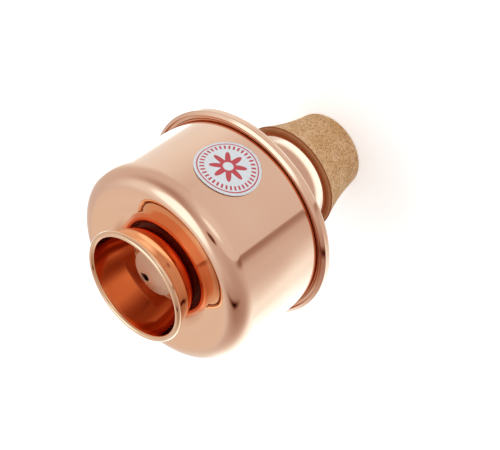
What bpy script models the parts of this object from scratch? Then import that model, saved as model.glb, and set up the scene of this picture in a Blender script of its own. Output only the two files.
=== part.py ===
"""Wah-wah mute: a polished copper resonator with a cork seat and a sliding stem that ends in a cup.

The axis is +Z. The cork's small end stands on z = 0 and the cup opens upwards.
Lengths are in metres. Every turned piece is a profile spun by a Screw modifier.
"""

import math

import bpy
from mathutils import Vector

MM = 0.001

# Sheet and fit
wall = 0.6 * MM  # spun copper of the two shells
cup_wall = 0.6 * MM  # spun copper of the cup
solder_gap = 0.3 * MM  # left open where two pieces are soldered or glued
slide_clearance = 0.15 * MM  # stem tube in its sleeve, on the radius

# Cork seat and the neck inside it
cork_end_radius = 16.7 * MM
cork_top_radius = 23.2 * MM
cork_length = 27.4 * MM
cork_end_round = 1.3 * MM
cork_bevel_height = 1.0 * MM
cork_bevel_width = 0.9 * MM
cork_hollow = 0.9 * MM  # how far the cork's side bows in from a straight cone
cork_top_cover = 2.2 * MM  # cork and glue over the neck
cork_end_cover = 3.0 * MM
neck_end_inset = 0.5 * MM  # the metal stops short of the cork's end
neck_length = 5.6 * MM  # bare neck between the cork and the flare

# Rear flare and the crimped seam rim
flare_height = 21.4 * MM
rim_radius = 44.5 * MM
rim_back_width = 1.9 * MM  # flat back of the rim, from its edge in to the flare
rim_thickness = 3.7 * MM
rim_lip_width = 1.5 * MM  # lip folded over the front shell's flange
rim_step = 3.1 * MM  # how far the rim stands out from the barrel
rim_front_round = 0.7 * MM
rim_back_round = 1.0 * MM
flange_inset = 0.3 * MM  # front shell's flange inside the fold

# Barrel, shoulder, dished front, and the well that the cup sits in
barrel_length = 36.4 * MM
shoulder_width = 6.9 * MM
shoulder_height = 7.5 * MM
dish_depth = 0.6 * MM
well_radius = 18.2 * MM
well_lip_width = 7.3 * MM  # the dish curves down into the well over this width
well_lip_height = 5.0 * MM
well_depth = 5.4 * MM
throat_radius = 11.0 * MM
throat_round = 1.2 * MM
throat_lip_length = 2.2 * MM

# Sliding stem
sleeve_length = 18.0 * MM
sleeve_chamfer = 0.3 * MM
tube_radius = 9.525 * MM
tube_wall = 0.6 * MM
tube_length = 76.0 * MM
cup_seat_gap = 0.4 * MM  # cup's base above the well's floor when the stem is right in
cup_depth = 18.0 * MM  # mouth to the outside of the base
cup_mouth_radius = 23.3 * MM
bead_radius = 1.25 * MM
crease_radius = 20.0 * MM  # inside of the wall, where the mouth band meets the bowl
crease_height = 10.4 * MM  # above the outside of the base
foot_radius = 16.1 * MM  # inside of the wall, carried down to the floor
foot_round = 1.2 * MM
disc_radius = 9.5 * MM
disc_thickness = 0.7 * MM
disc_height = 6.2 * MM  # top of the disc above the inside of the base
hole_radius = 1.55 * MM
hole_offset = 6.6 * MM
hole_angle = math.radians(86)
hole_tip = 2.9 * MM  # point of the drop-shaped hole, from its round end's centre
hole_tip_angle = math.radians(20)

# Label on the barrel
label_radius = 12.6 * MM
label_thickness = 0.25 * MM
label_height = 21.3 * MM  # centre above the back of the rim
label_angle = math.radians(-69)

# Facets
body_steps = 48
cork_steps = 40
stem_steps = 40
small_round_facets = 3
shoulder_facets = 7
dish_facets = 3
well_lip_facets = 8
flare_facets = 8
cork_side_facets = 7
bead_facets = 9
hole_facets = 10
label_cells = 10
weld_distance = 0.01 * MM

# Radii tied to the cork and the rim, so that what is glued or crimped keeps together
neck_radius = cork_top_radius - cork_top_cover
neck_end_radius = cork_end_radius - cork_end_cover
flare_radius = rim_radius - rim_back_width
rim_lip_radius = rim_radius - rim_lip_width
barrel_radius = rim_radius - rim_step

# Stations along the axis, worked out from the sizes above
flare_start_z = cork_length + neck_length
rim_back_z = flare_start_z + flare_height
rim_front_z = rim_back_z + rim_thickness
shoulder_z = rim_front_z + barrel_length
crest_z = shoulder_z + shoulder_height
crest_radius = barrel_radius - shoulder_width
dish_inner_radius = well_radius + well_lip_width
dish_edge_z = crest_z - dish_depth
throat_z = dish_edge_z - well_depth
cup_base_z = throat_z + cup_seat_gap
cup_floor_z = cup_base_z + cup_wall
disc_top_z = cup_floor_z + disc_height
tube_top_z = disc_top_z - disc_thickness - solder_gap
sleeve_radius = tube_radius + slide_clearance


def arc(centre, radii, start, end, count):
    """Points on an elliptical arc in the (radius, height) plane, angles in degrees."""
    points = []
    for i in range(count + 1):
        t = math.radians(start + (end - start) * i / count)
        points.append((centre[0] + radii[0] * math.cos(t), centre[1] + radii[1] * math.sin(t)))
    return points


def make_material(name, colour, metallic, roughness):
    material = bpy.data.materials.new(name)
    material.use_nodes = True
    shader = material.node_tree.nodes["Principled BSDF"]
    shader.inputs["Base Color"].default_value = (*colour, 1.0)
    shader.inputs["Metallic"].default_value = metallic
    shader.inputs["Roughness"].default_value = roughness
    material.diffuse_color = (*colour, 1.0)
    return material


def finish(obj, material, collection):
    obj.data.materials.append(material)
    for owner in list(obj.users_collection):
        owner.objects.unlink(obj)
    collection.objects.link(obj)
    return obj


def new_object(name, data, material, collection):
    obj = bpy.data.objects.new(name, data)
    bpy.context.scene.collection.objects.link(obj)
    return finish(obj, material, collection)


def profile_mesh(name, points, closed):
    mesh = bpy.data.meshes.new(name)
    count = len(points)
    edges = [(i, i + 1) for i in range(count - 1)]
    if closed:
        edges.append((count - 1, 0))
    mesh.from_pydata([(r, 0.0, z) for r, z in points], edges, [])
    return mesh


def spin(obj, steps):
    screw = obj.modifiers.new("Screw", "SCREW")
    screw.steps = steps
    screw.render_steps = steps
    screw.use_merge_vertices = True
    screw.merge_threshold = weld_distance
    screw.use_smooth_shade = True


def turned_shell(name, points, thickness, steps, material, collection):
    """Sheet metal: an open profile, spun, then thickened away from its visible side."""
    obj = new_object(name, profile_mesh(name, points, closed=False), material, collection)
    spin(obj, steps)
    sheet = obj.modifiers.new("Solidify", "SOLIDIFY")
    sheet.thickness = thickness
    sheet.offset = -1.0
    sheet.use_even_offset = True
    return obj


def turned_solid(name, points, steps, material, collection):
    obj = new_object(name, profile_mesh(name, points, closed=True), material, collection)
    spin(obj, steps)
    return obj


def dish_height(radius):
    """Height of the dish at a radius: level at the crest and at the well's lip."""
    share = (crest_radius - radius) / (crest_radius - dish_inner_radius)
    return crest_z - dish_depth * (1.0 - math.cos(math.pi * share)) / 2.0


def front_shell_profile():
    """From the throat's turned-in lip, over the well, dish and shoulder, down to the flange."""
    lip_centre = (throat_radius + throat_round, throat_z - throat_round)
    points = [(throat_radius, throat_z - throat_round - throat_lip_length)]
    points += arc(lip_centre, (throat_round, throat_round), 180, 90, small_round_facets)
    well_corner = well_depth - well_lip_height
    points.append((well_radius - well_corner, throat_z))
    well_lip = (well_lip_width, well_lip_height)
    points += arc((dish_inner_radius, dish_edge_z - well_lip_height), well_lip, 180, 90, well_lip_facets)
    for i in range(1, dish_facets):
        radius = dish_inner_radius + (crest_radius - dish_inner_radius) * i / dish_facets
        points.append((radius, dish_height(radius)))
    shoulder = (shoulder_width, shoulder_height)
    points += arc((crest_radius, shoulder_z), shoulder, 90, 0, shoulder_facets)
    flange_z = rim_front_z - wall - flange_inset
    points.append((barrel_radius, flange_z))
    points.append((rim_radius - wall - flange_inset, flange_z))
    return points


def rear_shell_profile():
    """From the folded lip of the rim, round its edge, down the flare to the end of the neck."""
    points = [(rim_lip_radius, rim_front_z)]
    front = (rim_radius - rim_front_round, rim_front_z - rim_front_round)
    points += arc(front, (rim_front_round, rim_front_round), 90, 0, small_round_facets)
    back = (rim_radius - rim_back_round, rim_back_z + rim_back_round)
    points += arc(back, (rim_back_round, rim_back_round), 0, -90, small_round_facets)
    flare = (flare_radius - neck_radius, flare_height)
    points += arc((flare_radius, flare_start_z), flare, 90, 180, flare_facets)
    points.append((neck_radius, cork_length - cork_bevel_height))
    points.append((neck_end_radius, neck_end_inset))
    return points


def cork_side(height):
    """Radius of the cork's side: a cone that bows in a little towards the middle."""
    share = height / (cork_length - cork_bevel_height)
    cone = cork_end_radius + (cork_top_radius - cork_end_radius) * share
    return cone - 4.0 * cork_hollow * share * (1.0 - share)


def cork_profile():
    """A closed section: top bevel, hollow side, rounded end, and the bore glued to the neck."""
    side_top = cork_length - cork_bevel_height
    points = [(neck_radius + solder_gap, cork_length)]
    points.append((cork_top_radius - cork_bevel_width, cork_length))
    for i in range(cork_side_facets):
        height = side_top + (cork_end_round - side_top) * i / cork_side_facets
        points.append((cork_side(height), height))
    round_centre = (cork_side(cork_end_round) - cork_end_round, cork_end_round)
    points += arc(round_centre, (cork_end_round, cork_end_round), 0, -90, small_round_facets)
    points.append((neck_end_radius + solder_gap, 0.0))
    points.append((neck_end_radius + solder_gap, neck_end_inset))
    points.append((neck_radius + solder_gap, side_top))
    return points


def sleeve_profile():
    """A closed section of the guide soldered in the throat, chamfered where the tube enters."""
    outside = throat_radius - solder_gap
    bottom = throat_z - sleeve_length
    return [
        (sleeve_radius + sleeve_chamfer, throat_z),
        (outside - sleeve_chamfer, throat_z),
        (outside, throat_z - sleeve_chamfer),
        (outside, bottom),
        (sleeve_radius + sleeve_chamfer, bottom),
        (sleeve_radius, bottom + sleeve_chamfer),
        (sleeve_radius, throat_z - sleeve_chamfer),
    ]


def tube_profile():
    return [(tube_radius, tube_top_z), (tube_radius, tube_top_z - tube_length)]


def cup_profile():
    """The cup's inside: from the hole in its base up the wall and over the rolled bead."""
    crease_z = cup_base_z + crease_height
    lean = math.degrees(math.atan2(crease_radius - foot_radius, crease_z - cup_floor_z))
    foot_centre = (foot_radius - foot_round, cup_floor_z + foot_round)
    points = [(tube_radius + solder_gap, cup_floor_z)]
    points += arc(foot_centre, (foot_round, foot_round), -90, -lean, small_round_facets)
    points.append((crease_radius, crease_z))
    bead_centre = (cup_mouth_radius - bead_radius, cup_base_z + cup_depth - bead_radius)
    points += arc(bead_centre, (bead_radius, bead_radius), 180, -90, bead_facets)
    return points


def make_label(material, collection):
    """A round paper disc bent onto the barrel, from a square grid pushed out to a circle."""
    bpy.ops.mesh.primitive_grid_add(x_subdivisions=label_cells, y_subdivisions=label_cells, size=2.0)
    obj = bpy.context.object
    obj.name = "label"
    obj.data.name = "label"
    skin = barrel_radius + solder_gap + label_thickness
    centre_z = rim_back_z + label_height
    for vertex in obj.data.vertices:
        x, y = vertex.co.x, vertex.co.y
        across = label_radius * x * math.sqrt(1.0 - y * y / 2.0)
        along = label_radius * y * math.sqrt(1.0 - x * x / 2.0)
        angle = label_angle + across / skin
        vertex.co = Vector((skin * math.cos(angle), skin * math.sin(angle), centre_z + along))
    sheet = obj.modifiers.new("Solidify", "SOLIDIFY")
    sheet.thickness = label_thickness
    sheet.offset = -1.0
    return finish(obj, material, collection)


def circle_outline(centre, radius, start, turn, count):
    points = []
    for i in range(count):
        t = start + turn * i / (count - 1)
        points.append(centre + radius * Vector((math.cos(t), math.sin(t))))
    return points


def drop_outline():
    """The disc's hole: a round end drawn out to a point."""
    centre = hole_offset * Vector((math.cos(hole_angle), math.sin(hole_angle)))
    spread = math.acos(hole_radius / hole_tip)
    tip = centre + hole_tip * Vector((math.cos(hole_tip_angle), math.sin(hole_tip_angle)))
    turn = 2.0 * math.pi - 2.0 * spread
    return [tip] + circle_outline(centre, hole_radius, hole_tip_angle + spread, turn, hole_facets + 1)


def disc_outline():
    last_turn = 2.0 * math.pi * (stem_steps - 1) / stem_steps
    return circle_outline(Vector((0.0, 0.0)), disc_radius, 0.0, last_turn, stem_steps)


def make_disc(material, collection):
    """The plate that closes the end of the tube inside the cup, with its drop-shaped hole."""
    curve = bpy.data.curves.new("stem_disc", "CURVE")
    curve.dimensions = "2D"
    curve.fill_mode = "BOTH"
    curve.extrude = disc_thickness / 2.0
    for outline in (disc_outline(), drop_outline()):
        spline = curve.splines.new("POLY")
        spline.points.add(len(outline) - 1)
        for point, place in zip(spline.points, outline):
            point.co = (place.x, place.y, 0.0, 1.0)
        spline.use_cyclic_u = True
    obj = new_object("stem_disc", curve, material, collection)
    obj.location.z = disc_top_z - disc_thickness / 2.0
    weld = obj.modifiers.new("Weld", "WELD")
    weld.merge_threshold = weld_distance
    return obj


def clear_scene():
    for obj in list(bpy.data.objects):
        bpy.data.objects.remove(obj, do_unlink=True)


def build():
    clear_scene()
    collection = bpy.data.collections.new("wah_wah_mute")
    bpy.context.scene.collection.children.link(collection)
    copper = make_material("polished_copper", (0.93, 0.55, 0.37), 1.0, 0.06)
    cup_copper = make_material("cup_copper", (0.93, 0.52, 0.33), 1.0, 0.08)
    satin_copper = make_material("satin_copper", (0.80, 0.46, 0.30), 1.0, 0.4)
    cork = make_material("cork", (0.47, 0.29, 0.15), 0.0, 0.9)
    foil = make_material("label_foil", (0.72, 0.74, 0.76), 0.0, 0.45)

    turned_shell("front_shell", front_shell_profile(), wall, body_steps, copper, collection)
    turned_shell("rear_shell", rear_shell_profile(), wall, body_steps, copper, collection)
    turned_solid("cork_seat", cork_profile(), cork_steps, cork, collection)
    turned_solid("stem_sleeve", sleeve_profile(), stem_steps, satin_copper, collection)
    turned_shell("stem_tube", tube_profile(), tube_wall, stem_steps, satin_copper, collection)
    turned_shell("stem_cup", cup_profile(), cup_wall, stem_steps, cup_copper, collection)
    make_disc(satin_copper, collection)
    make_label(foil, collection)


build()
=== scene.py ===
import math

import bpy
from mathutils import Matrix, Vector


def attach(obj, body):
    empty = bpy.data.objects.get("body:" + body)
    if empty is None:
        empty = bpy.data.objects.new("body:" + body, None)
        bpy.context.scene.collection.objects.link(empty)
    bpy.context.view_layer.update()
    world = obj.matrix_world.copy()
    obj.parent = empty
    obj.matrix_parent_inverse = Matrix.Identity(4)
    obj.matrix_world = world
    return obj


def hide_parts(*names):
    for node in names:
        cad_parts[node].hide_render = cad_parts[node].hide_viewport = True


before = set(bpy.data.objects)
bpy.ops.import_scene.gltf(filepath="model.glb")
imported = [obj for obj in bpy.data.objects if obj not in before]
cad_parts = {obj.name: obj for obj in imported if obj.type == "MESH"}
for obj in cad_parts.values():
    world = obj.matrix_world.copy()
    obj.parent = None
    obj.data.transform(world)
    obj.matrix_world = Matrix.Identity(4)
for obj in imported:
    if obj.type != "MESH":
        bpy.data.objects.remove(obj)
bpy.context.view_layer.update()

MM = 0.001

# Sizes that the solids have too
wall = 0.6 * MM
cup_wall = 0.6 * MM
solder_gap = 0.3 * MM
slide_clearance = 0.15 * MM
cork_end_radius = 16.7 * MM
cork_top_radius = 23.2 * MM
cork_length = 27.4 * MM
cork_end_round = 1.3 * MM
cork_bevel_height = 1.0 * MM
cork_bevel_width = 0.9 * MM
cork_hollow = 0.9 * MM
cork_top_cover = 2.2 * MM
cork_end_cover = 3.0 * MM
neck_end_inset = 0.5 * MM
neck_length = 5.6 * MM
flare_height = 21.4 * MM
rim_radius = 44.5 * MM
rim_back_width = 1.9 * MM
rim_thickness = 3.7 * MM
rim_lip_width = 1.5 * MM
rim_step = 3.1 * MM
rim_front_round = 0.35 * MM
rim_lip_drop = 0.62 * MM
rim_back_round = 1.0 * MM
flange_inset = 0.3 * MM
barrel_length = 36.4 * MM
shoulder_width = 6.9 * MM
shoulder_height = 7.5 * MM
dish_depth = 0.6 * MM
well_radius = 18.2 * MM
well_lip_width = 7.3 * MM
well_lip_height = 5.0 * MM
well_depth = 5.4 * MM
throat_radius = 11.0 * MM
throat_round = 1.2 * MM
throat_lip_length = 2.2 * MM
sleeve_length = 18.0 * MM
sleeve_chamfer = 0.3 * MM
tube_radius = 9.525 * MM
tube_wall = 0.6 * MM
tube_length = 76.0 * MM
cup_seat_gap = 0.4 * MM
cup_depth = 18.0 * MM
cup_mouth_radius = 23.3 * MM
bead_radius = 1.25 * MM
crease_radius = 20.0 * MM
crease_height = 10.4 * MM
foot_radius = 16.1 * MM
foot_round = 1.2 * MM
disc_radius = 9.5 * MM
disc_thickness = 0.7 * MM
disc_height = 6.2 * MM
hole_radius = 1.55 * MM
hole_offset = 6.6 * MM
hole_angle = math.radians(86)
hole_tip = 2.9 * MM
hole_tip_angle = math.radians(20)
label_radius = 12.6 * MM
label_thickness = 0.25 * MM
label_height = 21.3 * MM
label_angle = math.radians(-69)

# Small roundings and steps that only the scene has
bend_round = 0.35 * MM  # inside of the barrel's bend into the flange
edge_round = 0.12 * MM  # trimmed edges of the sheet
flare_lead = 3.0 * MM  # how far under the cork the flare's curve would begin
contact = 0.02 * MM  # left of the gap at soldered and glued joints
spin_steps = 288
dish_steps = 24
cork_side_steps = 40
disc_steps = 192
drop_steps = 40
disc_bevel_steps = 2
label_rings = 24
label_spokes = 144
arc_step = math.radians(4.5)
sharp_angle = math.radians(40)
disc_sharp_angle = math.radians(30)
mitre_limit = 0.5

# Radii tied to the cork and the rim
neck_radius = cork_top_radius - cork_top_cover
neck_end_radius = cork_end_radius - cork_end_cover
flare_radius = rim_radius - rim_back_width
rim_lip_radius = rim_radius - rim_lip_width
barrel_radius = rim_radius - rim_step

# Stations along the axis
flare_start_z = cork_length + neck_length
rim_back_z = flare_start_z + flare_height
rim_front_z = rim_back_z + rim_thickness
shoulder_z = rim_front_z + barrel_length
crest_z = shoulder_z + shoulder_height
crest_radius = barrel_radius - shoulder_width
dish_inner_radius = well_radius + well_lip_width
dish_edge_z = crest_z - dish_depth
throat_z = dish_edge_z - well_depth
cup_base_z = throat_z + cup_seat_gap
cup_floor_z = cup_base_z + cup_wall
disc_top_z = cup_floor_z + disc_height
tube_top_z = disc_top_z - disc_thickness - solder_gap
sleeve_radius = tube_radius + slide_clearance


def arc(centre, radii, start, end):
    """Points on an elliptical arc in the (radius, height) plane, angles in degrees."""
    start, end = math.radians(start), math.radians(end)
    count = max(2, math.ceil(abs(end - start) / arc_step))
    points = []
    for i in range(count + 1):
        t = start + (end - start) * i / count
        points.append((centre[0] + radii[0] * math.cos(t), centre[1] + radii[1] * math.sin(t)))
    return points


def sheet_section(points, thickness):
    """A closed section: the visible side, and the same line moved in by the sheet's thickness."""
    line = [Vector(p) for p in points]
    back = []
    for i, point in enumerate(line):
        before = (point - line[i - 1]).normalized() if i else None
        after = (line[i + 1] - point).normalized() if i + 1 < len(line) else None
        along = (before or after) + (after or before)
        along.normalize()
        turn = max(mitre_limit, along.dot(after or before))
        inward = Vector((along.y, -along.x)) / turn
        back.append(point + inward * thickness)
    return [tuple(p) for p in line] + [tuple(p) for p in reversed(back)]


def make_object(name, mesh, material):
    """Puts a mesh with its material in the scene."""
    obj = bpy.data.objects.new(name, mesh)
    bpy.context.scene.collection.objects.link(obj)
    mesh.materials.append(material)
    return obj


def section_area(section):
    """The section's area, negative where its points run clockwise."""
    total = 0.0
    for (r0, z0), (r1, z1) in zip(section, section[1:] + section[:1]):
        total += r0 * z1 - r1 * z0
    return total / 2.0


def turned(name, section, material):
    """A closed section turned once round the axis, as quads with smooth shading."""
    if section_area(section) < 0.0:
        section = section[::-1]
    count = len(section)
    points = []
    faces = []
    for i in range(spin_steps):
        angle = 2.0 * math.pi * i / spin_steps
        points += [(r * math.cos(angle), r * math.sin(angle), z) for r, z in section]
        here, there = i * count, (i + 1) % spin_steps * count
        for j in range(count):
            k = (j + 1) % count
            faces.append((here + j, there + j, there + k, here + k))
    mesh = bpy.data.meshes.new(name)
    mesh.from_pydata(points, [], faces)
    mesh.polygons.foreach_set("use_smooth", [True] * len(faces))
    mesh.set_sharp_from_angle(angle=sharp_angle)
    return make_object(name, mesh, material)


def dish_height(radius):
    """The dished front falls in a smooth curve from its crest to the well's lip."""
    share = (crest_radius - radius) / (crest_radius - dish_inner_radius)
    return crest_z - dish_depth * (1.0 - math.cos(math.pi * share)) / 2.0


def front_shell_section():
    """Throat, well, dished front, shoulder, barrel and flange."""
    lip_centre = (throat_radius + throat_round, throat_z - throat_round)
    points = [(throat_radius, throat_z - throat_round - throat_lip_length)]
    points += arc(lip_centre, (throat_round, throat_round), 180, 90)
    corner = well_depth - well_lip_height
    points += arc((well_radius - corner, throat_z + corner), (corner, corner), -90, 0)
    lip = (well_lip_width, well_lip_height)
    points += arc((dish_inner_radius, dish_edge_z - well_lip_height), lip, 180, 90)[1:]
    for i in range(1, dish_steps):
        radius = dish_inner_radius + (crest_radius - dish_inner_radius) * i / dish_steps
        points.append((radius, dish_height(radius)))
    points += arc((crest_radius, shoulder_z), (shoulder_width, shoulder_height), 90, 0)
    flange_z = rim_front_z - wall - flange_inset
    bend = (barrel_radius + bend_round, flange_z + bend_round)
    points += arc(bend, (bend_round, bend_round), 180, 270)
    points.append((rim_radius - wall - flange_inset, flange_z))
    return sheet_section(points, wall)


def rear_shell_section():
    """The rim's folded lip, its edge, the flare and the neck inside the cork."""
    lean = math.degrees(math.atan2(rim_lip_drop, rim_lip_width - rim_front_round))
    edge = (rim_radius - rim_front_round, rim_front_z - rim_lip_drop - rim_front_round)
    points = [(rim_lip_radius, rim_front_z)]
    points += arc(edge, (rim_front_round, rim_front_round), 90 - lean, 0)
    back = (rim_radius - rim_back_round, rim_back_z + rim_back_round)
    points += arc(back, (rim_back_round, rim_back_round), 0, -90)
    flare = (flare_radius - neck_radius, flare_height + neck_length + flare_lead)
    lead_angle = math.degrees(math.asin(flare_lead / flare[1]))
    points += arc((flare_radius, cork_length - flare_lead), flare, 90, 180 - lead_angle)
    points.append((neck_radius, cork_length - cork_bevel_height))
    points.append((neck_end_radius, neck_end_inset))
    return sheet_section(points, wall)


def cork_side(height):
    """The cork's tapered side, slightly hollow."""
    share = height / (cork_length - cork_bevel_height)
    cone = cork_end_radius + (cork_top_radius - cork_end_radius) * share
    return cone - 4.0 * cork_hollow * share * (1.0 - share)


def cork_section():
    """The cork: bevelled front edge, hollow taper, rounded end and the neck's bore."""
    side_top = cork_length - cork_bevel_height
    rise = flare_lead / (flare_height + neck_length + flare_lead)
    slope = (flare_radius - neck_radius) * (1.0 - math.sqrt(1.0 - rise * rise))
    points = [(neck_radius + slope + contact, cork_length)]
    points.append((cork_top_radius - cork_bevel_width, cork_length))
    for i in range(cork_side_steps):
        height = side_top + (cork_end_round - side_top) * i / cork_side_steps
        points.append((cork_side(height), height))
    round_centre = (cork_side(cork_end_round) - cork_end_round, cork_end_round)
    points += arc(round_centre, (cork_end_round, cork_end_round), 0, -90)
    points.append((neck_end_radius + contact, 0.0))
    points.append((neck_end_radius + contact, neck_end_inset))
    points.append((neck_radius + contact, side_top))
    return points


def sleeve_section():
    """The sleeve in the throat, that the tube slides in."""
    outside = throat_radius - solder_gap
    bottom = throat_z - sleeve_length
    return [
        (sleeve_radius + sleeve_chamfer, throat_z),
        (outside - sleeve_chamfer, throat_z),
        (outside, throat_z - sleeve_chamfer),
        (outside, bottom),
        (sleeve_radius + sleeve_chamfer, bottom),
        (sleeve_radius, bottom + sleeve_chamfer),
        (sleeve_radius, throat_z - sleeve_chamfer),
    ]


def tube_section():
    """The stem's tube, under the disc."""
    top = tube_top_z + solder_gap - contact
    bottom = tube_top_z - tube_length
    inside = tube_radius - tube_wall
    points = [(inside, top), (tube_radius - edge_round, top)]
    points += [(tube_radius, top - edge_round), (tube_radius, bottom + edge_round)]
    points += [(tube_radius - edge_round, bottom), (inside, bottom)]
    return points


def cup_section():
    """The cup: floor, foot, creased wall and rolled bead."""
    crease_z = cup_base_z + crease_height
    lean = math.degrees(math.atan2(crease_radius - foot_radius, crease_z - cup_floor_z))
    foot_centre = (foot_radius - foot_round, cup_floor_z + foot_round)
    points = [(tube_radius + contact, cup_floor_z)]
    points += arc(foot_centre, (foot_round, foot_round), -90, -lean)
    points.append((crease_radius, crease_z))
    bead_centre = (cup_mouth_radius - bead_radius, cup_base_z + cup_depth - bead_radius)
    points += arc(bead_centre, (bead_radius, bead_radius), 180, -90)
    return sheet_section(points, cup_wall)


def circle_outline(centre, radius, start, turn, count):
    """Points on part of a circle."""
    points = []
    for i in range(count):
        t = start + turn * i / (count - 1)
        points.append(centre + radius * Vector((math.cos(t), math.sin(t))))
    return points


def drop_outline():
    """The drop-shaped hole: a pointed tip and most of a circle."""
    centre = hole_offset * Vector((math.cos(hole_angle), math.sin(hole_angle)))
    spread = math.acos(hole_radius / hole_tip)
    tip = centre + hole_tip * Vector((math.cos(hole_tip_angle), math.sin(hole_tip_angle)))
    turn = 2.0 * math.pi - 2.0 * spread
    return [tip] + circle_outline(centre, hole_radius, hole_tip_angle + spread, turn, drop_steps)


def make_disc(material):
    """The plate on the end of the tube, from a filled curve that becomes a plain mesh."""
    curve = bpy.data.curves.new("disc_plate", "CURVE")
    curve.dimensions = "2D"
    curve.fill_mode = "BOTH"
    curve.extrude = disc_thickness / 2.0 - edge_round
    curve.bevel_depth = edge_round
    curve.offset = -edge_round
    curve.bevel_resolution = disc_bevel_steps
    last_turn = 2.0 * math.pi * (disc_steps - 1) / disc_steps
    edge = circle_outline(Vector((0.0, 0.0)), disc_radius, 0.0, last_turn, disc_steps)
    for outline in (edge, drop_outline()):
        spline = curve.splines.new("POLY")
        spline.points.add(len(outline) - 1)
        for point, place in zip(spline.points, outline):
            point.co = (place.x, place.y, 0.0, 1.0)
        spline.use_cyclic_u = True
    helper = bpy.data.objects.new("disc_curve", curve)
    bpy.context.scene.collection.objects.link(helper)
    helper.location.z = disc_top_z - disc_thickness / 2.0
    bpy.context.view_layer.update()
    graph = bpy.context.evaluated_depsgraph_get()
    mesh = bpy.data.meshes.new_from_object(helper.evaluated_get(graph))
    mesh.transform(helper.matrix_world)
    mesh.name = "disc_plate"
    bpy.data.objects.remove(helper, do_unlink=True)
    mesh.materials.clear()
    mesh.polygons.foreach_set("use_smooth", [True] * len(mesh.polygons))
    mesh.set_sharp_from_angle(angle=disc_sharp_angle)
    return make_object("disc_plate", mesh, material)


def make_label(material):
    """A thin round sheet bent onto the barrel, with a flat map of itself as its UVs."""
    skin = barrel_radius + solder_gap + label_thickness
    centre_z = rim_back_z + label_height
    flat = [(0.0, 0.0)]
    for i in range(1, label_rings + 1):
        for j in range(label_spokes):
            t = 2.0 * math.pi * j / label_spokes
            flat.append((i / label_rings * math.cos(t), i / label_rings * math.sin(t)))
    points = []
    for x, y in flat:
        angle = label_angle + label_radius * x / skin
        points.append((skin * math.cos(angle), skin * math.sin(angle), centre_z + label_radius * y))
    faces = []
    for j in range(label_spokes):
        k = (j + 1) % label_spokes
        faces.append((0, 1 + j, 1 + k))
        for i in range(label_rings - 1):
            inner, outer = 1 + i * label_spokes, 1 + (i + 1) * label_spokes
            faces.append((inner + j, outer + j, outer + k, inner + k))
    mesh = bpy.data.meshes.new("label_sheet")
    mesh.from_pydata(points, [], faces)
    uv = mesh.uv_layers.new(name="flat")
    for loop in mesh.loops:
        uv.data[loop.index].uv = flat[loop.vertex_index]
    mesh.polygons.foreach_set("use_smooth", [True] * len(faces))
    obj = make_object("label_sheet", mesh, material)
    sheet = obj.modifiers.new("Solidify", "SOLIDIFY")
    sheet.thickness = label_thickness
    sheet.offset = -1.0
    return obj


class Nodes:
    """Short calls for building a node tree."""

    def __init__(self, tree):
        self.tree = tree

    def add(self, kind, **settings):
        node = self.tree.nodes.new(kind)
        for key, value in settings.items():
            setattr(node, key, value)
        return node

    def join(self, source, target):
        self.tree.links.new(source, target)

    def fill(self, sockets, values):
        """Gives each socket its value: a number, a colour, or what another node puts out."""
        for socket, value in zip(sockets, values):
            if isinstance(value, tuple):
                socket.default_value = (*value, 1.0)
            elif isinstance(value, (int, float)):
                socket.default_value = value
            else:
                self.join(value, socket)

    def math(self, operation, *values):
        node = self.add("ShaderNodeMath", operation=operation)
        self.fill(node.inputs, values)
        return node.outputs[0]

    def dot(self, first, second):
        node = self.add("ShaderNodeVectorMath", operation="DOT_PRODUCT")
        self.join(first, node.inputs[0])
        self.join(second, node.inputs[1])
        return node.outputs["Value"]

    def distance(self, x, y):
        x2 = self.math("MULTIPLY", x, x)
        y2 = self.math("MULTIPLY", y, y)
        return self.math("SQRT", self.math("ADD", x2, y2))

    def split(self, vector):
        node = self.add("ShaderNodeSeparateXYZ")
        self.join(vector, node.inputs[0])
        return node.outputs

    def span(self, value, low, high, to_low=0.0, to_high=1.0):
        """Changes smoothly from to_low at low to to_high at high."""
        node = self.add("ShaderNodeMapRange", interpolation_type="SMOOTHSTEP")
        names = ("Value", "From Min", "From Max", "To Min", "To Max")
        self.fill([node.inputs[name] for name in names], (value, low, high, to_low, to_high))
        return node.outputs["Result"]

    def fall(self, value, low, high):
        """Changes smoothly from 1 at low to 0 at high."""
        return self.span(value, low, high, 1.0, 0.0)

    def noise(self, vector, scale, detail, roughness=0.5):
        node = self.add("ShaderNodeTexNoise")
        names = ("Vector", "Scale", "Detail", "Roughness")
        self.fill([node.inputs[name] for name in names], (vector, scale, detail, roughness))
        return node.outputs["Fac"]

    def mix(self, share, first, second):
        node = self.add("ShaderNodeMix", data_type="RGBA")
        self.fill((node.inputs[0], node.inputs[6], node.inputs[7]), (share, first, second))
        return node.outputs[2]

    def mix_numbers(self, share, first, second):
        node = self.add("ShaderNodeMix", data_type="FLOAT")
        self.fill((node.inputs[0], node.inputs[2], node.inputs[3]), (share, first, second))
        return node.outputs[0]

    def bump(self, height, strength, distance):
        node = self.add("ShaderNodeBump")
        names = ("Height", "Strength", "Distance")
        self.fill([node.inputs[name] for name in names], (height, strength, distance))
        return node.outputs["Normal"]


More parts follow.
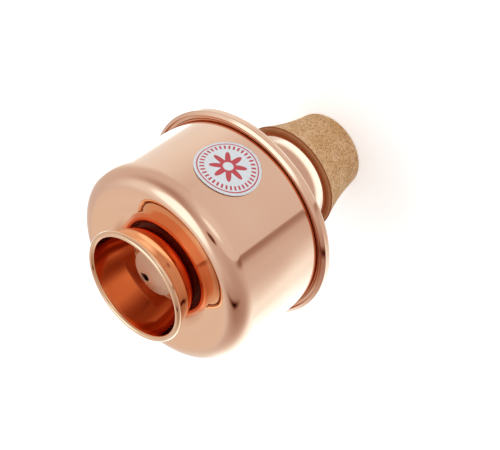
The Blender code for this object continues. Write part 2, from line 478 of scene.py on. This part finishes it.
class Surface:
    """A shaded point of a turned piece: its place, its distance from the axis and its height."""

    def __init__(self, nodes):
        self.nodes = nodes
        self.place = nodes.add("ShaderNodeTexCoord").outputs["Object"]
        x, y, self.height = nodes.split(self.place)
        self.radius = nodes.distance(x, y)

    def within(self, low, high):
        """1 nearer to the axis than low, 0 farther than high."""
        return self.nodes.fall(self.radius, low, high)

    def beyond(self, low, high):
        """0 nearer to the axis than low, 1 farther than high."""
        return self.nodes.span(self.radius, low, high)

    def below(self, low, high):
        """1 lower than low, 0 higher than high."""
        return self.nodes.fall(self.height, low, high)

    def above(self, low, high):
        """0 lower than low, 1 higher than high."""
        return self.nodes.span(self.height, low, high)

    def both(self, first, second):
        return self.nodes.math("MULTIPLY", first, second)


# Heights and radii between which a part's colour changes
dish_blend = 1.5 * MM
well_wall_blend = 1.5 * MM
well_red_low = throat_z + 1.5 * MM
well_red_high = throat_z + 4.5 * MM
well_floor_low = throat_z + 0.1 * MM
well_floor_high = throat_z + 0.7 * MM
seam_blend = 0.8 * MM
lip_edge_low = rim_lip_radius + 0.02 * MM
lip_edge_high = rim_lip_radius + 0.15 * MM
cup_foot_inner = foot_radius - 2.0 * MM
cup_foot_outer = foot_radius - 1.0 * MM
cup_foot_low = cup_base_z + 0.1 * MM
cup_foot_high = cup_base_z + 0.9 * MM
cup_crease_low = cup_base_z + crease_height - 0.3 * MM
cup_crease_high = cup_base_z + crease_height + 0.5 * MM
cup_bead_low = cup_base_z + cup_depth - 3.0 * MM
cup_bead_high = cup_base_z + cup_depth - 1.0 * MM
# Bearing of the side of the cup's inside that gets painted shade
far_wall_angle = math.radians(155)


def on_dish(surface):
    """The dished front, a little warmer than the barrel."""
    inner = surface.within(crest_radius - dish_blend, crest_radius + dish_blend)
    return surface.both(inner, surface.above(crest_z - dish_blend, crest_z - dish_depth))


def in_well(surface):
    """The well's wall, inside the dished front, painted redder: a painted reflection."""
    return surface.within(well_radius, dish_inner_radius)


def in_well_low(surface):
    """The lower half of the well's wall, redder: painted reflection of its own walls, and a little tarnish.
    """
    inner = surface.within(well_radius, well_radius + well_wall_blend)
    return surface.both(surface.below(well_red_low, well_red_high), inner)


def in_seam(surface):
    """The foot of the barrel and its flange, inside the rim's folded lip, darker and redder: painted shade
    in the recess.
    """
    return surface.below(rim_front_z, rim_front_z + seam_blend)


def under_lip(surface):
    """The cut edge and the back of the folded lip, darker: painted shade in the recess under the lip."""
    inner = surface.within(lip_edge_low, lip_edge_high)
    return surface.both(inner, surface.above(rim_back_z + wall, rim_front_z - wall))


def on_well_floor(surface):
    """The floor of the well, dark and dull: painted shade in the crevice round the cup's foot."""
    inner = surface.within(well_radius, well_radius + well_wall_blend)
    return surface.both(surface.below(well_floor_low, well_floor_high), inner)


def under_cup(surface):
    """The cup's foot, from outside, dark and dull: painted shade in the crevice above the well's floor."""
    outside = surface.beyond(cup_foot_inner, cup_foot_outer)
    return surface.both(outside, surface.below(cup_foot_low, cup_foot_high))


def cup_flare(surface):
    """The cup above its crease, and the bead."""
    return surface.above(cup_crease_low, cup_crease_high)


def inside_cup(surface):
    """The faces of the cup that look toward its axis or up, below the bead."""
    nodes = surface.nodes
    normal = nodes.add("ShaderNodeTexCoord").outputs["Normal"]
    rise = nodes.math("MULTIPLY", nodes.split(normal)[2], surface.height)
    outward = nodes.math("SUBTRACT", nodes.dot(normal, surface.place), rise)
    outward = nodes.math("DIVIDE", outward, surface.radius)
    return surface.both(nodes.fall(outward, -0.3, 0.1), surface.below(cup_bead_low, cup_bead_high))


def cup_far_wall_shade(surface):
    """One side of the cup's inside, darkened: painted shade."""
    nodes = surface.nodes
    toward = nodes.add("ShaderNodeCombineXYZ")
    nodes.fill(toward.inputs, (math.cos(far_wall_angle), math.sin(far_wall_angle), 0.0))
    reach = nodes.math("DIVIDE", nodes.dot(surface.place, toward.outputs[0]), surface.radius)
    return surface.both(nodes.span(reach, 0.3, 0.9), inside_cup(surface))


def new_material(name):
    material = bpy.data.materials.new(name)
    material.use_nodes = True
    tree = material.node_tree
    return material, Nodes(tree), tree.nodes["Principled BSDF"]


def spun_copper(name, light, dark, roughness, line_depth, parts=()):
    """Copper with faint turning lines, smudges in the gloss and slow changes of tint.

    parts lists what differs from the rest of the piece: the function that gives its share, its colour,
    its added roughness, and whether it is dull and not metallic, which paints shade. One part at most is
    dull.
    """
    tint_scale = 45.0
    smudge_scale = 120.0
    line_scale = 2200.0
    material, nodes, shader = new_material(name)
    surface = Surface(nodes)
    tint = nodes.noise(surface.place, tint_scale, detail=3.0)
    colour = nodes.mix(nodes.span(tint, 0.35, 0.7), light, dark)
    smudge = nodes.noise(surface.place, smudge_scale, detail=4.0)
    gloss = nodes.span(smudge, 0.3, 0.75, 0.8 * roughness, 1.5 * roughness)
    metallic = 1.0
    for share_of, part_colour, part_roughness, dull in parts:
        share = share_of(surface)
        colour = nodes.mix(share, colour, part_colour)
        gloss = nodes.math("ADD", gloss, nodes.math("MULTIPLY", share, part_roughness))
        if dull:
            metallic = nodes.math("SUBTRACT", 1.0, share)
    rings = nodes.add("ShaderNodeCombineXYZ")
    nodes.fill(rings.inputs, (surface.radius, surface.height))
    lines = nodes.noise(rings.outputs[0], line_scale, detail=3.0)
    relief = nodes.bump(lines, 1.0, line_depth)
    names = ("Base Color", "Roughness", "Metallic", "Normal")
    nodes.fill([shader.inputs[name] for name in names], (colour, gloss, metallic, relief))
    return material


def agglomerated_cork():
    """Pressed cork grains: pale and reddish cells, dark specks, small pits and a darker front, darkest just
    above the side.
    """
    cell_scale = 1900.0
    patch_scale = 160.0
    speck_scale = 1500.0
    pit_depth = 0.15 * MM
    pale_colours = (0.81, 0.54, 0.305), (0.69, 0.41, 0.185)
    grain_colour = (0.55, 0.28, 0.11)
    speck_colour = (0.33, 0.12, 0.04)
    front_colour = (0.46, 0.16, 0.055)
    edge_colour = (0.33, 0.1, 0.03)
    material, nodes, shader = new_material("cork_fine")
    surface = Surface(nodes)
    cells = nodes.add("ShaderNodeTexVoronoi")
    nodes.join(surface.place, cells.inputs["Vector"])
    cells.inputs["Scale"].default_value = cell_scale
    pick = nodes.split(cells.outputs["Color"])[0]
    patch = nodes.span(nodes.noise(surface.place, patch_scale, detail=2.0), 0.35, 0.65)
    grain = nodes.mix(nodes.span(pick, 0.35, 1.0), nodes.mix(patch, *pale_colours), grain_colour)
    speck = nodes.noise(surface.place, speck_scale, detail=3.0, roughness=0.7)
    colour = nodes.mix(nodes.span(speck, 0.55, 0.62), grain, speck_colour)
    bevel_z = cork_length - cork_bevel_height
    front = surface.above(bevel_z - 0.05 * MM, bevel_z + 0.1 * MM)
    colour = nodes.mix(nodes.math("MULTIPLY", front, 0.85), colour, front_colour)
    edge = surface.below(bevel_z + 0.3 * MM, bevel_z + 0.6 * MM)
    colour = nodes.mix(surface.both(front, edge), colour, edge_colour)
    relief = nodes.bump(speck, 0.5, pit_depth)
    names = ("Base Color", "Roughness", "Normal")
    nodes.fill([shader.inputs[name] for name in names], (colour, 0.85, relief))
    return material


def printed_foil():
    """Silvery paper with a plain red print: an edge ring, a ring of ticks and a petal rosette."""
    soft = 0.012
    ring_radius, ring_half = 0.9, 0.02
    tick_count, tick_radius, tick_half = 36.0, 0.76, 0.07
    petal_count, petal_radius, petal_wave = 8.0, 0.4, 0.16
    heart_inner, heart_outer = 0.14, 0.17
    paper = (0.74, 0.76, 0.78)
    ink = (0.55, 0.05, 0.06)
    material, nodes, shader = new_material("label_print")
    u, v, _ = nodes.split(nodes.add("ShaderNodeUVMap", uv_map="flat").outputs["UV"])
    radius = nodes.distance(u, v)
    angle = nodes.math("ARCTAN2", v, u)

    def band(centre, half):
        away = nodes.math("ABSOLUTE", nodes.math("SUBTRACT", radius, centre))
        return nodes.fall(away, half - soft, half + soft)

    ticks = nodes.math("COSINE", nodes.math("MULTIPLY", angle, tick_count))
    ticks = nodes.math("MULTIPLY", nodes.span(ticks, 0.0, 0.3), band(tick_radius, tick_half))
    wave = nodes.math("COSINE", nodes.math("MULTIPLY", angle, petal_count))
    reach = nodes.math("ADD", nodes.math("MULTIPLY", wave, petal_wave), petal_radius)
    petals = nodes.fall(nodes.math("SUBTRACT", radius, reach), -soft, soft)
    petals = nodes.math("MULTIPLY", petals, nodes.span(radius, heart_inner, heart_outer))
    red = nodes.math("MAXIMUM", nodes.math("MAXIMUM", band(ring_radius, ring_half), ticks), petals)
    nodes.join(nodes.mix(red, paper, ink), shader.inputs["Base Color"])
    shader.inputs["Roughness"].default_value = 0.4
    return material


front_parts = (
    (on_dish, (0.98, 0.56, 0.355), 0.0, False),
    (in_well, (0.89, 0.42, 0.22), 0.12, False),
    (in_well_low, (0.87, 0.26, 0.12), 0.08, False),
    (in_seam, (0.84, 0.44, 0.28), 0.1, False),
    (on_well_floor, (0.22, 0.04, 0.014), 0.7, True),
)
cup_parts = (
    (cup_flare, (0.93, 0.56, 0.35), 0.0, False),
    (inside_cup, (0.89, 0.38, 0.19), 0.03, False),
    # painted shade on one side of the cup's inside
    (cup_far_wall_shade, (0.46, 0.13, 0.055), 0.0, False),
    (under_cup, (0.22, 0.04, 0.015), 0.7, True),
)
rear_parts = ((under_lip, (0.72, 0.34, 0.2), 0.15, False),)
shell_light = (0.93, 0.56, 0.39)
shell_dark = (0.91, 0.53, 0.36)
shell_lines = 0.0004 * MM
front_metal = spun_copper("front_copper", shell_light, shell_dark, 0.05, shell_lines, front_parts)
rear_metal = spun_copper("rear_copper", shell_light, shell_dark, 0.05, shell_lines, rear_parts)
cup_metal = spun_copper("cup_metal", (0.9, 0.36, 0.18), (0.88, 0.33, 0.15), 0.06, 0.0008 * MM, cup_parts)
satin = spun_copper("satin_metal", (0.8, 0.47, 0.32), (0.72, 0.4, 0.26), 0.32, 0.004 * MM)
cork = agglomerated_cork()
print_foil = printed_foil()

front_shell = turned("front_shell_fine", front_shell_section(), front_metal)
rear_shell = turned("rear_shell_fine", rear_shell_section(), rear_metal)
cork_seat = turned("cork_fine", cork_section(), cork)
sleeve = turned("sleeve_fine", sleeve_section(), satin)
label = make_label(print_foil)
tube = turned("tube_fine", tube_section(), satin)
cup = turned("cup_fine", cup_section(), cup_metal)
disc = make_disc(satin)
pieces = (
    (front_shell, "front_shell", "resonator", "polished_copper"),
    (rear_shell, "rear_shell", "resonator", "polished_copper"),
    (cork_seat, "cork_seat", "resonator", "cork"),
    (sleeve, "stem_sleeve", "resonator", "satin_copper"),
    (label, "label", "resonator", "label_foil"),
    (tube, "stem_tube", "stem", "satin_copper"),
    (cup, "stem_cup", "stem", "cup_copper"),
    (disc, "stem_disc", "stem", "satin_copper"),
)
for piece, node, body, slot in pieces:
    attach(piece, body)
    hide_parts(node)

# Camera, where the photograph was taken from
aim = Vector((-6.47, 0.0, 54.9)) * MM
camera_distance = 499.7 * MM
toward_camera = Vector((0.0, -0.8115, 0.58435))
camera_roll = math.radians(-125.94)
camera_data = bpy.data.cameras.new("camera")
camera_data.lens = 92.08
camera_data.sensor_width = 36.0
camera_data.clip_start = 0.01
camera = bpy.data.objects.new("camera", camera_data)
bpy.context.scene.collection.objects.link(camera)
look = (-toward_camera).to_track_quat("-Z", "Y").to_matrix().to_4x4()
camera.matrix_world = Matrix.Translation(aim + toward_camera * camera_distance) @ look
camera.matrix_world = camera.matrix_world @ Matrix.Rotation(camera_roll, 4, "Z")
bpy.context.scene.camera = camera

# Floor: white, a little brighter to the camera, and left out of what the copper mirrors
floor_half = 3.0
floor_z = -0.05 * MM
floor_tone = 0.9
floor_glow = 0.15
floor_glow_seen = 0.45
sides = ((-1.0, -1.0), (1.0, -1.0), (1.0, 1.0), (-1.0, 1.0))
floor_mesh = bpy.data.meshes.new("floor")
floor_mesh.from_pydata([(x * floor_half, y * floor_half, floor_z) for x, y in sides], [], [(0, 1, 2, 3)])
floor_material, floor_nodes, floor_shader = new_material("floor_white")
floor_shader.inputs["Base Color"].default_value = (floor_tone, floor_tone, floor_tone, 1.0)
floor_shader.inputs["Roughness"].default_value = 1.0
floor_shader.inputs["Specular IOR Level"].default_value = 0.0
floor_shader.inputs["Emission Color"].default_value = (1.0, 1.0, 1.0, 1.0)
seen = floor_nodes.add("ShaderNodeLightPath").outputs["Is Camera Ray"]
glow = floor_nodes.span(seen, 0.0, 1.0, floor_glow, floor_glow_seen)
floor_nodes.join(glow, floor_shader.inputs["Emission Strength"])
floor = make_object("floor", floor_mesh, floor_material)
floor.visible_glossy = False

# World: a pale studio round a white table, with the soft lights and dark stands that polished copper mirrors
table_up = Vector((0.680, -0.729, -0.082)).normalized()
studio_right = Vector((-0.587, -0.473, -0.657))
studio_right = (studio_right - studio_right.dot(table_up) * table_up).normalized()
studio_back = table_up.cross(studio_right)
wall_tone = 0.68
matt_level = 1.25
backdrop = (0.97, 0.97, 0.97)

# Each zone: bearing (0 toward the camera, right positive), height, half width, half height and roll
# in degrees, then softness of the edge and brightness
zones = (
    ("table_lit_from_behind", 140, -70, 45, 30, -15, 0.5, 1.8),
    ("table_far_left", -175, -40, 40, 15, 70, 0.9, 2.3),
    ("backlight", -160, -10, 15, 15, 0, 0.1, 1.9),
    ("ceiling_left", -50, 45, 40, 25, 20, 0.6, 0.35),
    ("room_behind_camera", 20, -30, 35, 65, -5, 0.7, 0.45),
    ("table_edge_shade", -10, -45, 35, 15, 5, 0.9, 0.3),
    ("table_edge", -15, -40, 20, 3, 5, 0.8, 0.0),
    ("table_beside_face", -93, -41, 12, 9, 0, 0.9, 0.76),
    ("shade_right", 72, 6, 24, 8, 3, 0.9, 0.56),
    ("dark_panel_right", 68, 8, 20, 5, 3, 0.8, 0.16),
    ("wall_right", 75, 46, 75, 36, 0, 0.03, 0.74),
    ("softbox_left", -65, 0, 30, 35, -25, 0.4, 1.0),
    ("softbox_left_core", -55, 5, 20, 25, -15, 0.25, 1.75),
    ("softbox_top", 35, 50, 30, 25, 0, 0.9, 0.9),
    ("softbox_top_core", 16, 42, 13, 8, -40, 0.5, 1.35),
    ("camera_and_stand", -10, 20, 8, 6, 20, 0.4, 0.05),
    ("table_shade_left", -125, -60, 20, 10, 15, 0.9, 0.9),
    ("table_glint", 110, -50, 2, 30, 35, 0.6, 1.4),
    ("backlight_gap", -150, -25, 8, 10, 10, 0.6, 1.0),
    ("wall_behind", 165, 30, 35, 20, -5, 0.9, 1.15),
    ("window_behind", 134, 9, 39, 45, 0, 0.08, 1.85),
    ("stand_behind", 143, 2, 33, 32, 0, 0.1, 0.57),
)

world = bpy.data.worlds.new("studio")
bpy.context.scene.world = world
world.use_nodes = True
world_nodes = Nodes(world.node_tree)
background = world.node_tree.nodes["Background"]
direction = world_nodes.add("ShaderNodeTexCoord").outputs["Generated"]


def studio_direction(bearing, height):
    level = math.cos(height) * (math.sin(bearing) * studio_right - math.cos(bearing) * studio_back)
    return level + math.sin(height) * table_up


def add_zone(tone, bearing, height, half_width, half_height, roll, softness, level):
    """Mixes a soft-edged ellipse of the sky to a level of its own."""
    angles = (bearing, height, half_width, half_height, roll)
    bearing, height, half_width, half_height, roll = (math.radians(angle) for angle in angles)
    side = math.cos(bearing) * studio_right + math.sin(bearing) * studio_back
    rise = studio_direction(bearing, height + math.pi / 2.0)
    across = math.cos(roll) * side + math.sin(roll) * rise
    upward = math.cos(roll) * rise - math.sin(roll) * side
    turn = Matrix((across, upward, across.cross(upward))).transposed()
    place = world_nodes.add("ShaderNodeMapping", vector_type="TEXTURE")
    world_nodes.join(direction, place.inputs["Vector"])
    place.inputs["Location"].default_value = studio_direction(bearing, height)
    place.inputs["Rotation"].default_value = turn.to_euler()
    place.inputs["Scale"].default_value = (math.sin(half_width), math.sin(half_height), 1.0)
    reach = world_nodes.add("ShaderNodeVectorMath", operation="LENGTH")
    world_nodes.join(place.outputs["Vector"], reach.inputs[0])
    share = world_nodes.fall(reach.outputs["Value"], 1.0 - softness, 1.0 + softness)
    return world_nodes.mix_numbers(share, tone, level)


tone = wall_tone
for zone in zones:
    tone = add_zone(tone, *zone[1:])

# What metal mirrors: bright lamps are cool and the dim room is warm
red_power = 0.65
blue_power = 1.14
red = world_nodes.math("POWER", tone, red_power)
red = world_nodes.math("MULTIPLY", red, wall_tone ** (1.0 - red_power))
blue = world_nodes.math("POWER", tone, blue_power)
blue = world_nodes.math("MULTIPLY", blue, wall_tone ** (1.0 - blue_power))
mirrored = world_nodes.add("ShaderNodeCombineColor")
world_nodes.fill(mirrored.inputs, (red, tone, blue))

# Matt surfaces get the plain tone, a little stronger, and the camera sees a plain backdrop
ray = world_nodes.add("ShaderNodeLightPath")
lit = world_nodes.mix(ray.outputs["Is Diffuse Ray"], mirrored.outputs[0], tone)
shown = world_nodes.mix(ray.outputs["Is Camera Ray"], lit, backdrop)
world_nodes.join(shown, background.inputs["Color"])
strength = world_nodes.span(ray.outputs["Is Diffuse Ray"], 0.0, 1.0, 1.0, matt_level)
world_nodes.join(strength, background.inputs["Strength"])

bpy.context.scene.view_settings.view_transform = "Standard"
